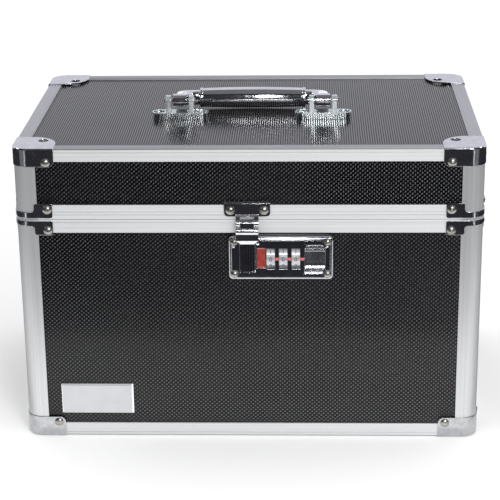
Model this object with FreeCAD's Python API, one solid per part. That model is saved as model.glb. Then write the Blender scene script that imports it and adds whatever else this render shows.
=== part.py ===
import FreeCAD, Part
import math
import os
from FreeCAD import Vector

# Aluminium-framed carrying case for a small drone. Boards faced with textured
# plastic sit in extruded edges, the corners carry pressed steel caps, the lid
# swings on two stop hinges at the back, and a hasp drops into a three-wheel
# combination lock at the front. Millimetres, +Z up, front towards -Y, origin on
# the floor under the middle of the case.

os.makedirs("parts", exist_ok=True)

# ---- Driving dimensions -------------------------------------------------------

# Whole case, over the corner caps
case_width = 350.0
case_depth = 227.4
case_height = 232.4
split_height = 177.5        # where lid and base meet
seam_gap = 0.3              # between lid and base

# Extruded edges and boards
skin = 1.2                  # wall of every extrusion
board = 4.0                 # thickness of every board
fit_gap = 0.1               # between a board and its slot
post_leg = 17.2             # width of a corner post on each face
post_radius = 12.5          # rounding of the corner posts
post_web = 11.0             # from the outer face to the end of a post's slot
top_flange = 10.7           # width of the top edge on the top face
top_apron = 9.5             # and on the upright faces
bottom_flange = 10.7
bottom_apron = 10.3
lid_rim = 11.0              # height of the lid's rim extrusion
base_rim = 10.2             # height of the base's rim extrusion
rim_web = 4.8               # solid part of a rim, next to the seam
edge_bevel = 0.8
groove_width = 0.5          # decorative grooves pressed in by the die
groove_depth = 0.35
tongue_width = 1.8          # ridge on the base rim that enters the lid rim
tongue_height = 2.0
tongue_gap = 0.4

# Pressed corner caps
cap_sheet = 0.7
cap_edge = 1.2              # rounding between the faces of a cap
top_cap_reach = 32.0
top_cap_drop = 14.0
bottom_cap_reach = 31.0
bottom_cap_rise = 16.2
cap_lap_radius = 19.0       # round inner corner of the lap on the top face
cap_side_radius = 4.4       # round inner corner of the laps on the upright faces
cap_rivet_in = 25.8         # rivets on the upright faces, from the case's side
top_cap_rivet_drop = 10.8
bottom_cap_rivet_rise = 12.0
lap_rivet_in = 22.0         # rivet on the top or bottom lap, from both sides
lap_hole_radius = 3.9

# Clips at the seam
clip_sheet = 0.8
clip_reach = 29.2
clip_plate = 13.6           # width of a clip's plate
lid_clip_height = 11.2
base_clip_height = 10.8
lid_clip_strap = 4.5
base_clip_strap = 3.9
clip_lift = 1.2             # from the seam to a clip
clip_corner = 1.5
clip_shoulder = 2.6         # hollow rounding between strap and plate
lid_clip_rivet = 7.9        # from the seam
base_clip_rivet = 8.4
clip_rivet_in = 25.3

# Rivets
rivet_head = 3.5
rivet_dome = 1.7
rivet_shank = 1.6
rivet_clinch = 2.6
clinch_height = 0.8
sunk_rivet_head = 2.9
sunk_rivet_dome = 0.9

# Combination lock
lock_x = 23.75
lock_drop = 29.6            # lock centre below the seam
lock_width = 78.0
lock_height = 34.0
lock_corner = 3.2
lock_proud = 6.0            # face of the lock in front of the board
lock_ledge = 1.5            # the raised face above the ledge round it
lock_ledge_width = 1.9
lock_edge = 0.6
lock_rivet_inset = 4.4
lock_rivet_head = 3.1
lock_round = 1.9            # rounding of the ledge's outer edge
lock_skin = 0.8             # wall between the face and the works behind it
works_gap = 0.3             # clearance round the sliding works
works_half_height = 11.6    # part of the housing that goes through the board
works_left = 30.0
works_right = 32.0
works_depth = 18.0
cover_sheet = 1.0

# Number wheels
wheel_count = 3
wheel_radius = 9.2
wheel_width = 6.1
wheel_pitch = 9.35
wheel_first = -7.55         # first wheel from the lock's middle
wheel_sink = 8.4            # wheel axle behind the lock's face
wheel_side_gap = 0.3
wheel_faces = 10
wheel_notch = 0.6
window_width = 6.3
window_height = 16.2
axle_radius = 1.5
axle_gap = 0.05
axle_seat = 2.4

# Thumb slide and bolt
slide_x = 25.4              # slide from the lock's middle
slide_width = 15.0
slide_top = 11.2            # above the lock's middle
slide_corner = 3.0
slide_button = 20.2         # height of the button
slide_travel = 2.5
slide_sink = 2.0            # hollow for the thumb, behind the lock's face
slide_curve = 7.0           # radius with which the hollow runs out at its foot
slide_ridge = 5.0
slide_ridge_proud = 1.0
slide_proud = 0.2           # foot of the slide in front of the lock's face
link_front = 2.4            # link bar and bolt, behind the lock's face
link_back = 4.6
link_bar = 2.0
bolt_left = -17.75          # red bolt, from the lock's middle
bolt_right = -11.55
bolt_top = 8.6
bolt_bottom = -7.2
nose_reach = 7.4            # nose of the bolt under the hasp's catch
nose_height = 2.4
spring_radius = 1.4
spring_wire = 0.45
spring_length = 12.4
spring_turns = 7
lug_height = 2.0

# Hasp
hasp_x = -24.8              # hasp from the lock's middle
hasp_axis_drop = 1.9        # its hinge below the seam
hasp_axis_out = 3.4         # and in front of the rims
knuckle_radius = 2.9
knuckle_width = 17.0
knuckle_middle = 10.0
knuckle_gap = 0.3
hasp_pin_radius = 1.1
hasp_plate_width = 34.2
hasp_plate_bottom = 2.6     # above the seam
hasp_plate_top = 12.7
hasp_lip = 1.2              # slanting lip above the plate, back to the board
hasp_plate_sheet = 1.2
hasp_plate_corner = 3.0
hasp_rivet_spacing = 24.9
hasp_rivet_rise = 7.4
leaf_width = 16.7
leaf_sheet = 1.3
leaf_bead_radius = 3.2      # rounded bead across the top of the leaf
leaf_bead_proud = 0.9
tongue_plate_width = 10.8
tongue_plate_sheet = 1.6
tongue_plate_sink = 0.3     # tongue behind the lock's face
tongue_plate_top = 11.6     # above the lock's middle
tongue_plate_bottom = -10.3
shelf_height = 3.2
recess_gap = 0.4
catch_width = 7.0
catch_depth = 5.0
catch_top = 4.2
catch_stem = 2.0
catch_lip = 1.5
catch_drop = 2.4

# Handle
handle_span = 111.4         # between the middles of the brackets
handle_reach = 32.8         # from its hinge to the middle of the grip
handle_fall = 10.4          # degrees below level when it lies down
handle_corner = 13.0
arm_width = 10.5
arm_thick = 11.6            # at the bar
arm_round = 4.2
boss_radius = 5.2
grip_length = 84.0
grip_end_radius = 7.4
grip_middle_radius = 8.2
collar_width = 2.6
collar_radius = 7.8
collar_round = 0.8
bracket_y = -21.0
bracket_length = 44.2
bracket_width = 12.0
bracket_height = 5.4
bracket_block = 28.3
bracket_nose = 0.5          # block in front of the round ears
lug_spacing = 17.8
lug_thick = 3.8
lug_radius = 4.2
pivot_rise = 14.6           # handle hinge above the board
pivot_back = 4.2            # behind the block's front face
pivot_radius = 1.5
pivot_gap = 0.05
pivot_head = 1.0
bracket_screw_in = 16.6
screw_recess_radius = 4.3
screw_recess_depth = 2.6
screw_head_radius = 3.3
screw_head_height = 1.7
screw_slot = 0.8
screw_shank = 1.75
nut_radius = 3.2
nut_height = 2.2

# Hinges at the back
hinge_x = 95.0
hinge_width = 32.0
hinge_middle = 10.0
hinge_gap = 0.25
hinge_radius = 2.3
hinge_out = 2.6             # pin behind the rims' outer face
hinge_sheet = 1.2
hinge_pin_radius = 1.0
hinge_leaf_height = 9.4
hinge_rivet_drop = 5.6
hinge_rivet_spacing = 20.0
hinge_rivet_head = 2.6
hinge_rivet_dome = 1.2
stop_reach = 4.4            # stop finger from the hinge axis
stop_thick = 1.2
stop_angle = 1.0            # degrees above level with the lid shut

# Label plate, bare
label_width = 55.5
label_height = 24.3
label_left = 28.9           # from the case's left side
label_rise = 19.3
label_sheet = 0.8

# Foam
foam_gap = 1.2              # to the frame, clear of the rivets' ends
foam_rest = 0.3             # to the surface that carries the foam
foam_top = 12.5             # below the seam
pocket_corner = 9.0
drone_bay = (-154.0, 52.0, -36.0, 92.0, 118.0)          # x, x, y, y, depth
transmitter_bay = (66.0, 154.0, -36.0, 92.0, 96.0)
battery_bay_left = (-154.0, -58.0, -90.0, -50.0, 74.0)
battery_bay_middle = (-44.0, 52.0, -90.0, -50.0, 74.0)
charger_bay = (66.0, 154.0, -90.0, -50.0, 74.0)
lid_foam_thick = 20.0

# ---- Sizes worked out from them ------------------------------------------------

shell_x = case_width / 2 - cap_sheet
shell_y = case_depth / 2 - cap_sheet
shell_bottom = cap_sheet
shell_top = case_height - cap_sheet
lid_bottom = split_height + seam_gap / 2
base_top = split_height - seam_gap / 2
slot = board + 2 * fit_gap
channel = skin + slot + skin
board_in = skin + fit_gap
board_front = -shell_y + board_in
board_top = shell_top - board_in
face = board_front - lock_proud
lock_z = split_height - lock_drop
hasp_mid = lock_x + hasp_x
hasp_axis_y = -shell_y - hasp_axis_out
hasp_axis_z = split_height - hasp_axis_drop
wheel_z = lock_z
wheel_y = face + wheel_sink
wheel_places = [lock_x + wheel_first + n * wheel_pitch for n in range(wheel_count)]
button_x = lock_x + slide_x
button_top = lock_z + slide_top
button_bottom = button_top - slide_button
bracket_front = bracket_y - bracket_width / 2 - bracket_nose
pivot_y = bracket_front + pivot_back
pivot_z = board_top + pivot_rise
hinge_y = shell_y + hinge_out
foam_x = shell_x - channel - foam_gap
foam_y = shell_y - channel - foam_gap
foam_floor = shell_bottom + channel + foam_rest
foam_z = split_height - foam_top

# ---- Shapes used again and again -----------------------------------------------


def block(x0, x1, y0, y1, z0, z1):
    """Box between two corners."""
    return Part.makeBox(x1 - x0, y1 - y0, z1 - z0, Vector(x0, y0, z0))


def rod(radius, start, end):
    """Round bar from one point to another."""
    start = Vector(*start)
    run = Vector(*end) - start
    return Part.makeCylinder(radius, run.Length, start, run)


def fused(shapes):
    """One solid from several that touch."""
    return shapes[0].fuse(shapes[1:]).removeSplitter()


def bored(shape, tools):
    """The shape with the tools taken out of it."""
    return shape.cut(Part.makeCompound(tools))


def slab(points, x0, x1):
    """Outline of (y, z) points carried along X."""
    corners = [Vector(x0, y, z) for y, z in points]
    outline = Part.makePolygon(corners + corners[:1])
    return Part.Face(outline).extrude(Vector(x1 - x0, 0, 0))


def rounded(solid, radius, along):
    """Rounds every straight edge that runs along one axis."""
    edges = [e for e in solid.Edges if abs(e.tangentAt(e.FirstParameter).dot(along)) > 0.999]
    return solid.makeFillet(radius, edges)


def mirrored(shape, axis):
    """Twin of the shape across the plane through the origin with that normal."""
    return shape.mirror(Vector(0, 0, 0), axis)


X_AXIS = Vector(1, 0, 0)
Y_AXIS = Vector(0, 1, 0)
Z_AXIS = Vector(0, 0, 1)


def four_corners(shape):
    """The left front shape and its twins: left front, right front, left back, right back."""
    back = mirrored(shape, Y_AXIS)
    return [shape, mirrored(shape, X_AXIS), back, mirrored(back, X_AXIS)]


SIDES = {
    "front": (0, Vector(0, -shell_y, 0), shell_x),
    "right": (90, Vector(shell_x, 0, 0), shell_y),
    "back": (180, Vector(0, shell_y, 0), shell_x),
    "left": (-90, Vector(-shell_x, 0, 0), shell_y),
}


def on_side(make, side):
    """A piece made along X with its outer face at y = 0, moved to one side of the case."""
    turn, shift, half = SIDES[side]
    piece = make(half)
    piece.rotate(Vector(0, 0, 0), Z_AXIS, turn)
    piece.translate(shift)
    return piece


def corner_prism(reach, offset, z0, z1):
    """Upright prism at the left front corner with the posts' rounding, its faces
    moved inwards by the offset, or outwards by a negative one."""
    mid = post_radius - (post_radius - offset) / math.sqrt(2)

    def at(u, v):
        return Vector(-shell_x + u, -shell_y + v, z0)

    edges = [
        Part.makeLine(at(offset, reach), at(offset, post_radius)),
        Part.Arc(at(offset, post_radius), at(mid, mid), at(post_radius, offset)).toShape(),
        Part.makeLine(at(post_radius, offset), at(reach, offset)),
        Part.makeLine(at(reach, offset), at(reach, reach)),
        Part.makeLine(at(reach, reach), at(offset, reach)),
    ]
    return Part.Face(Part.Wire(edges)).extrude(Vector(0, 0, z1 - z0))


def corner_block(u0, u1, v0, v1, z0, z1):
    """Box measured inwards from the left front corner of the extrusions."""
    return block(-shell_x + u0, -shell_x + u1, -shell_y + v0, -shell_y + v1, z0, z1)


def rivet(place, inward, grip, head=rivet_head, dome=rivet_dome):
    """Dome head on the surface, shank through the grip, clinched end behind it."""
    ball = (head * head + dome * dome) / (2 * dome)
    half = math.asin(head / ball) / 2
    crown = Vector(ball * math.sin(half), 0, ball - dome - ball * math.cos(half))
    end = grip + clinch_height
    tip = Vector(0, 0, -dome)
    rim = Vector(head, 0, 0)
    corners = [
        rim,
        Vector(rivet_shank, 0, 0),
        Vector(rivet_shank, 0, grip),
        Vector(rivet_clinch, 0, grip),
        Vector(rivet_clinch, 0, end),
        Vector(0, 0, end),
        tip,
    ]
    edges = [Part.Arc(tip, crown, rim).toShape()]
    edges += [Part.makeLine(a, b) for a, b in zip(corners, corners[1:])]
    solid = Part.Face(Part.Wire(edges)).revolve(Vector(0, 0, 0), Z_AXIS, 360)
    solid.Placement = FreeCAD.Placement(Vector(*place), FreeCAD.Rotation(Z_AXIS, inward))
    return solid


# ---- Rivets, placed first because every layer is drilled for them ---------------


def corner_rivets(rise, sheet, height, grip):
    """The two rivets of a cap or clip at each corner, one on each upright face."""
    inset = rise - cap_sheet
    outer = -shell_y - sheet
    front = rivet((-shell_x + inset, outer, height), Y_AXIS, grip)
    side = rivet((-shell_x - sheet, -shell_y + inset, height), X_AXIS, grip)
    return four_corners(front) + four_corners(side)


def lap_rivets(height, inward):
    """The sunk rivet in the top or bottom lap of each cap."""
    place = (-shell_x + lap_inset, -shell_y + lap_inset, height)
    return four_corners(rivet(place, inward, board, sunk_rivet_head, sunk_rivet_dome))


lap_inset = lap_rivet_in - cap_sheet
cap_grip = cap_sheet + board_in + board
clip_grip = clip_sheet + channel
top_cap_rivets = corner_rivets(cap_rivet_in, cap_sheet, case_height - top_cap_rivet_drop, cap_grip)
top_cap_rivets += lap_rivets(board_top, -Z_AXIS)
bottom_cap_rivets = corner_rivets(cap_rivet_in, cap_sheet, bottom_cap_rivet_rise, cap_grip)
bottom_cap_rivets += lap_rivets(shell_bottom + board_in, Z_AXIS)
lid_clip_rivets = corner_rivets(clip_rivet_in, clip_sheet, split_height + lid_clip_rivet, clip_grip)
base_clip_rivets = corner_rivets(clip_rivet_in, clip_sheet, split_height - base_clip_rivet, clip_grip)

lock_rivet_x = lock_width / 2 - lock_rivet_inset
lock_rivet_z = lock_height / 2 - lock_rivet_inset
ledge_y = face + lock_ledge
lock_rivets = [
    rivet((lock_x + a * lock_rivet_x, ledge_y, lock_z + b * lock_rivet_z),
          Y_AXIS, lock_proud - lock_ledge + board, lock_rivet_head)
    for a in (-1, 1) for b in (-1, 1)
]
hasp_rivets = [
    rivet((hasp_mid + a * hasp_rivet_spacing / 2, -shell_y - hasp_plate_sheet,
           split_height + hasp_rivet_rise), Y_AXIS, hasp_plate_sheet + channel)
    for a in (-1, 1)
]


def hinge_rivets(height):
    """Four small rivets, two through each hinge's leaf."""
    return [
        rivet((a * hinge_x + b * hinge_rivet_spacing / 2, shell_y + hinge_sheet, height),
              -Y_AXIS, hinge_sheet + channel, hinge_rivet_head, hinge_rivet_dome)
        for a in (-1, 1) for b in (-1, 1)
    ]


lid_hinge_rivets = hinge_rivets(split_height + hinge_rivet_drop)
base_hinge_rivets = hinge_rivets(split_height - hinge_rivet_drop)
lid_holes = top_cap_rivets + lid_clip_rivets + hasp_rivets + lid_hinge_rivets
base_holes = bottom_cap_rivets + base_clip_rivets + lock_rivets + base_hinge_rivets

nodes = {
    "lid_rivets": Part.makeCompound(top_cap_rivets + lid_clip_rivets),
    "base_rivets": Part.makeCompound(bottom_cap_rivets + base_clip_rivets),
    "lock_rivets": Part.makeCompound(lock_rivets),
    "hasp_rivets": Part.makeCompound(hasp_rivets),
    "lid_hinge_rivets": Part.makeCompound(lid_hinge_rivets),
    "base_hinge_rivets": Part.makeCompound(base_hinge_rivets),
}

# ---- Extruded edges --------------------------------------------------------------


def post(z0, z1):
    """Corner post: rounded skin, a slot for the board on each side, hollow core."""
    inner = skin + slot
    hollow = corner_prism(post_leg, skin, z0, z1)
    hollow = hollow.common(corner_block(0, post_web - skin, 0, post_web - skin, z0, z1))
    hollow = hollow.cut(corner_block(inner, post_leg, inner, post_leg, z0, z1))
    cuts = [
        corner_block(channel, post_leg, channel, post_leg, z0, z1),
        corner_block(post_web, post_leg, skin, inner, z0, z1),
        corner_block(skin, inner, post_web, post_leg, z0, z1),
    ]
    solid = corner_prism(post_leg, 0, z0, z1)
    for cut in cuts + [hollow]:
        solid = solid.cut(cut)
    return solid


def edge_bar(half, flange, apron, outer, way):
    """Edge between an upright face and the top (way -1) or bottom (way 1) face:
    two flanges, two slots and a square hollow between them."""
    def lift(p):
        return outer + way * p

    def hole(q0, q1, p0, p1):
        low, high = sorted((lift(p0), lift(p1)))
        return block(-half, half, q0, q1, low, high)

    half = half - post_leg
    inner = skin + slot
    outline = [
        (edge_bevel, 0), (flange, 0), (flange, channel), (channel, channel),
        (channel, apron), (0, apron), (0, edge_bevel),
    ]
    solid = slab([(q, lift(p)) for q, p in outline], -half, half)
    cuts = [
        hole(channel, flange, skin, inner),
        hole(skin, inner, channel, apron),
        hole(skin, inner, skin, inner),
        hole(0, groove_depth, 2.4, 2.4 + groove_width),
    ]
    return bored(solid, cuts)


def rim_bar(half, height, seam, way, grooves):
    """Rim along the seam: solid next to it, with a slot for the board behind.
    way is 1 for the lid's rim, above the seam, and -1 for the base's."""
    def part_of(q0, q1, p0, p1):
        low, high = sorted((seam + way * p0, seam + way * p1))
        return block(-half, half, q0, q1, low, high)

    half = half - post_leg
    cuts = [part_of(skin, skin + slot, rim_web, height)]
    cuts += [part_of(0, groove_depth, p, p + groove_width) for p in grooves]
    return bored(part_of(0, channel, 0, height), cuts)


def rim_tongue(half, width, height, seam):
    """Ridge that stands on the base rim, or the groove for it in the lid rim."""
    half = half - post_leg
    middle = channel / 2
    return block(-half, half, middle - width / 2, middle + width / 2, seam, seam + height)


def lid_rim_bar(half):
    """The lid's rim with the groove that takes the base's tongue."""
    bar = rim_bar(half, lid_rim, lid_bottom, 1, (3.2, 5.4))
    groove = rim_tongue(half, tongue_width + 2 * tongue_gap, tongue_height + tongue_gap, lid_bottom)
    return bar.cut(groove)


def base_rim_bar(half):
    """The base's rim without a tongue, as at the back."""
    return rim_bar(half, base_rim, base_top, -1, (1.8,))


def base_rim_with_tongue(half):
    """The base's rim with its tongue, as on the other three sides."""
    tongue = rim_tongue(half, tongue_width, tongue_height, base_top)
    return fused([base_rim_bar(half), tongue])


def top_edge_bar(half):
    """Edge of the lid's top face."""
    return edge_bar(half, top_flange, top_apron, shell_top, -1)


def bottom_edge_bar(half):
    """Edge of the base's bottom face."""
    return edge_bar(half, bottom_flange, bottom_apron, shell_bottom, 1)


all_sides = ("front", "right", "back", "left")
nodes["base_posts"] = bored(Part.makeCompound(four_corners(post(shell_bottom, base_top))), base_holes)
nodes["lid_posts"] = bored(Part.makeCompound(four_corners(post(lid_bottom, shell_top))), lid_holes)
nodes["lid_top_edges"] = bored(
    Part.makeCompound([on_side(top_edge_bar, s) for s in all_sides]), lid_holes)
nodes["base_bottom_edges"] = bored(
    Part.makeCompound([on_side(bottom_edge_bar, s) for s in all_sides]), base_holes)
nodes["lid_rims"] = bored(
    Part.makeCompound([on_side(lid_rim_bar, s) for s in all_sides]), lid_holes)
base_rims = [on_side(base_rim_with_tongue, s) for s in ("front", "right", "left")]
base_rims.append(on_side(base_rim_bar, "back"))
nodes["base_rims"] = bored(Part.makeCompound(base_rims), base_holes)

# ---- Boards ------------------------------------------------------------------------

lid_board_low = lid_bottom + rim_web + fit_gap
lid_board_high = shell_top - channel - fit_gap
base_board_low = shell_bottom + channel + fit_gap
base_board_high = base_top - rim_web - fit_gap


def upright_board(low, high):
    """Maker of a board that stands in the slots of two posts, an edge and a rim."""
    def make(half):
        reach = half - post_web - fit_gap
        return block(-reach, reach, board_in, board_in + board, low, high)
    return make


def level_board(z0):
    """Top or bottom board, lying in the slots of the four edges."""
    reach_x = shell_x - channel - fit_gap
    reach_y = shell_y - channel - fit_gap
    return block(-reach_x, reach_x, -reach_y, reach_y, z0, z0 + board)


for side in all_sides:
    lid_board = on_side(upright_board(lid_board_low, lid_board_high), side)
    nodes[f"lid_{side}_board"] = bored(lid_board, lid_holes)
    base_board = on_side(upright_board(base_board_low, base_board_high), side)
    nodes[f"base_{side}_board"] = bored(base_board, base_holes)

works_hole = block(
    lock_x - works_left - fit_gap, lock_x + works_right + fit_gap,
    board_front - 1, board_front + board + 1,
    lock_z - works_half_height - fit_gap, lock_z + works_half_height + fit_gap)
nodes["base_front_board"] = nodes["base_front_board"].cut(works_hole)
nodes["base_bottom_board"] = bored(level_board(shell_bottom + board_in), base_holes)

# ---- Corner caps and clips ----------------------------------------------------------


def cap(reach, rise, lap_depth):
    """Pressed cap at the left front bottom corner, z measured up from its outer face.
    Three laps: one on each upright face, and one on the level face."""
    deep = reach + 8
    outer = corner_prism(deep, -cap_sheet, 0, rise + 8)
    lower = [
        e for e in outer.Edges
        if e.BoundBox.ZMax < 0.001
        and e.BoundBox.XMin < -shell_x + deep - 0.001
        and e.BoundBox.YMin < -shell_y + deep - 0.001
    ]
    outer = outer.makeFillet(cap_edge, lower)
    sheet = outer.cut(corner_prism(deep + 1, 0, cap_sheet, rise + 9))
    out = cap_sheet + 1
    inner = reach - cap_sheet
    front = corner_block(-out, inner, -out, post_radius, -1, rise)
    corner = [
        e for e in front.Edges
        if e.BoundBox.XMin > -shell_x + inner - 0.001 and e.BoundBox.ZMin > rise - 0.001
    ]
    front = front.makeFillet(cap_side_radius, corner)
    side = front.mirror(Vector(-shell_x, -shell_y, 0), Vector(1, -1, 0))
    lap = corner_block(-out, inner, -out, inner, -1, lap_depth)
    corner = [
        e for e in lap.Edges
        if e.BoundBox.XMin > -shell_x + inner - 0.001 and e.BoundBox.YMin > -shell_y + inner - 0.001
    ]
    lap = lap.makeFillet(cap_lap_radius, corner)
    pressed = sheet.common(fused([front, side, lap]))
    hole = rod(lap_hole_radius, (-shell_x + lap_inset, -shell_y + lap_inset, -1),
               (-shell_x + lap_inset, -shell_y + lap_inset, lap_depth + 1))
    return pressed.cut(hole)


def clip(low, plate_high, strap_low, strap_high):
    """Clip at the left front corner: a plate on each face joined by a strap that wraps
    the post. The plates run from low to plate_high, the strap between its own heights."""
    deep = clip_reach + 8
    z0, z1 = min(low, plate_high), max(low, plate_high)
    sheet = corner_prism(deep, -clip_sheet, z0, z1).cut(corner_prism(deep + 1, 0, z0 - 1, z1 + 1))
    out = clip_sheet + 1
    inner = clip_reach - cap_sheet
    plate = corner_block(inner - clip_plate, inner, -out, post_radius, z0, z1)
    plate = rounded(plate, clip_corner, Y_AXIS)
    strap = corner_block(-out, inner - clip_corner, -out, post_radius, strap_low, strap_high)
    front = fused([plate, strap])
    shoulder_z = strap_high if plate_high > low else strap_low
    shoulder = [
        e for e in front.Edges
        if abs(e.BoundBox.Center.x - (-shell_x + inner - clip_plate)) < 0.001
        and abs(e.BoundBox.Center.z - shoulder_z) < 0.001 and e.BoundBox.ZLength < 0.001
    ]
    front = front.makeFillet(clip_shoulder, shoulder)
    side = front.mirror(Vector(-shell_x, -shell_y, 0), Vector(1, -1, 0))
    return sheet.common(fused([front, side]))


corner_names = ("front_left", "front_right", "back_left", "back_right")
bottom_cap = cap(bottom_cap_reach, bottom_cap_rise, cap_sheet)
top_cap = cap(top_cap_reach, top_cap_drop, cap_sheet)
top_cap = mirrored(top_cap, Z_AXIS)
top_cap.translate(Vector(0, 0, case_height))
for name, low, high in zip(corner_names, four_corners(bottom_cap), four_corners(top_cap)):
    nodes[f"bottom_corner_{name}"] = bored(low, bottom_cap_rivets)
    nodes[f"top_corner_{name}"] = bored(high, top_cap_rivets)

lid_clip_low = split_height + clip_lift
lid_clip = clip(lid_clip_low, lid_clip_low + lid_clip_height,
                lid_clip_low, lid_clip_low + lid_clip_strap)
base_clip_high = split_height - clip_lift
base_clip = clip(base_clip_high, base_clip_high - base_clip_height,
                 base_clip_high - base_clip_strap, base_clip_high)
nodes["lid_clips"] = bored(Part.makeCompound(four_corners(lid_clip)), lid_clip_rivets)
nodes["base_clips"] = bored(Part.makeCompound(four_corners(base_clip)), base_clip_rivets)

# ---- Label plate ----------------------------------------------------------------------

label_x = -case_width / 2 + label_left
label = block(label_x, label_x + label_width, board_front - label_sheet, board_front,
              label_rise, label_rise + label_height)
nodes["label_plate"] = rounded(label, 0.6, Y_AXIS)

# ---- Lock -------------------------------------------------------------------------------


def works(x0, x1, depth0, depth1, z0, z1):
    """Box in the lock, with x and z from its middle and depths behind its face."""
    return block(lock_x + x0, lock_x + x1, face + depth0, face + depth1, lock_z + z0, lock_z + z1)


half_width = lock_width / 2
half_height = lock_height / 2
raised_x = half_width - lock_ledge_width
raised_z = half_height - lock_ledge_width
wheel_room = wheel_width / 2 + wheel_side_gap
slide_left = slide_x - slide_width / 2
slide_right = slide_x + slide_width / 2
slide_low = slide_top - slide_button
link_high = -wheel_radius - 1.0
link_low = link_high - link_bar
recess_half = tongue_plate_width / 2 + recess_gap
catch_high = catch_top + 1.0
catch_low = catch_top - catch_stem - catch_drop - slide_travel - 1.0
room_front = link_front - works_gap
room_back = link_back + works_gap
spring_x = slide_x - 1.0
spring_y = room_back + 0.4 + spring_radius + spring_wire / 2
spring_base = -9.0
lug_low = spring_base + spring_length
lug_high = lug_low + lug_height
lug_back = spring_y + spring_radius

ledge = rounded(works(-half_width, half_width, lock_ledge, lock_proud, -half_height, half_height),
                lock_corner, Y_AXIS)
ledge_rim = [e for e in ledge.Edges if e.BoundBox.YMax < ledge_y + 0.001]
ledge = ledge.makeFillet(lock_round, ledge_rim)
raised = rounded(works(-raised_x, raised_x, 0, lock_ledge, -raised_z, raised_z),
                 lock_corner - lock_ledge_width / 2, Y_AXIS)
raised_rim = [e for e in raised.Edges if e.BoundBox.YMax < face + 0.001]
raised = raised.makeChamfer(lock_edge, raised_rim)
through = works(-works_left, works_right, lock_proud, works_depth, -works_half_height, works_half_height)
housing = fused([ledge, raised, through])
lock_room = [
    rod(lock_rivet_head + 0.5, (lock_x + a * lock_rivet_x, face - 1, lock_z + b * lock_rivet_z),
        (lock_x + a * lock_rivet_x, ledge_y, lock_z + b * lock_rivet_z))
    for a in (-1, 1) for b in (-1, 1)
]
lock_room += [
    works(hasp_x - recess_half, hasp_x + recess_half, -1, 2.2,
          tongue_plate_bottom - recess_gap, half_height + 1),
    works(hasp_x - leaf_width / 2 - recess_gap, hasp_x + leaf_width / 2 + recess_gap, -1, lock_ledge,
          tongue_plate_top - 0.3, half_height + 1),
    works(hasp_x - catch_width / 2 - 0.8, bolt_left + 0.1, 2, 9.5, catch_low, catch_high),
    works(bolt_left - works_gap, bolt_right + works_gap, lock_skin, room_back,
          bolt_bottom - slide_travel - works_gap, bolt_top + works_gap),
    works(bolt_left - works_gap, bolt_right + 0.2, -1, lock_skin, bolt_bottom, bolt_top),
    works(slide_left - works_gap, slide_right + works_gap, -1, room_back,
          slide_low - slide_travel - works_gap, slide_top + works_gap),
    works(slide_left - works_gap, slide_right + works_gap, room_front, room_back,
          link_low - slide_travel - works_gap, slide_low),
    works(bolt_left + 1 - works_gap, slide_left, room_front, room_back,
          link_low - slide_travel - works_gap, link_high + works_gap),
    works(bolt_left + 1 - works_gap, bolt_left + 5 + works_gap, room_front, room_back,
          link_low, bolt_bottom + 1),
    works(spring_x - 2.2, spring_x + 2.2, room_back - 0.1, lug_back + works_gap,
          spring_base, lug_high + works_gap),
]
for place in wheel_places:
    middle = place - lock_x
    lock_room.append(works(middle - window_width / 2, middle + window_width / 2,
                           -1, lock_skin + 0.1, -window_height / 2, window_height / 2))
    lock_room.append(works(middle - wheel_room, middle + wheel_room, lock_skin, works_depth,
                           -wheel_radius - 0.6, wheel_radius + 0.6))
axle_left = wheel_places[0] - wheel_room - axle_seat
axle_right = wheel_places[-1] + wheel_room + axle_seat
axle = rod(axle_radius, (axle_left, wheel_y, wheel_z), (axle_right, wheel_y, wheel_z))
lock_room.append(axle)
for room in lock_room:
    housing = housing.cut(room)
nodes["lock_housing"] = bored(housing, lock_rivets)
nodes["wheel_axle"] = axle
nodes["lock_cover"] = works(-works_left, works_right, works_depth, works_depth + cover_sheet,
                            -works_half_height, works_half_height)

for number, place in enumerate(wheel_places, start=1):
    ends = (place - wheel_width / 2, place + wheel_width / 2)
    wheel = rod(wheel_radius, (ends[0], wheel_y, wheel_z), (ends[1], wheel_y, wheel_z))
    notches = [rod(axle_radius + axle_gap, (ends[0] - 1, wheel_y, wheel_z),
                   (ends[1] + 1, wheel_y, wheel_z))]
    for face_number in range(wheel_faces):
        turn = math.radians(360 / wheel_faces * (face_number + 0.5))
        y = wheel_y + wheel_radius * math.cos(turn)
        z = wheel_z + wheel_radius * math.sin(turn)
        notches.append(rod(wheel_notch, (ends[0] - 1, y, z), (ends[1] + 1, y, z)))
    nodes[f"number_wheel_{number}"] = bored(wheel, notches)

# Thumb slide: dished button with a ridge along its top, an apron under it, and the
# link bar that runs below the wheels to the bolt
button = works(slide_left, slide_right, -slide_proud, link_back, slide_low, slide_top)
foot = math.sqrt(slide_curve ** 2 - (slide_curve - slide_sink - slide_proud) ** 2)
curve_y = face + slide_sink - slide_curve
curve_z = lock_z + slide_low + foot
button = button.cut(rod(slide_curve, (lock_x + slide_left - 1, curve_y, curve_z),
                        (lock_x + slide_right + 1, curve_y, curve_z)))
button = button.cut(works(slide_left - 1, slide_right + 1, -slide_curve, slide_sink,
                          slide_low + foot, slide_top))
ridge = works(slide_left, slide_right, -slide_ridge_proud, link_front, slide_top - slide_ridge, slide_top)
ridge = rounded(ridge, 0.8, X_AXIS)
ridge_groove = works(slide_left, slide_right, -slide_ridge_proud - 1, -slide_ridge_proud + 0.5,
                     slide_top - slide_ridge / 2 - 0.4, slide_top - slide_ridge / 2 + 0.4)
button_outline = works(slide_left, slide_right, -slide_ridge_proud, link_back, slide_low, slide_top)
button_outline = rounded(button_outline, slide_corner, Y_AXIS)
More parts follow.
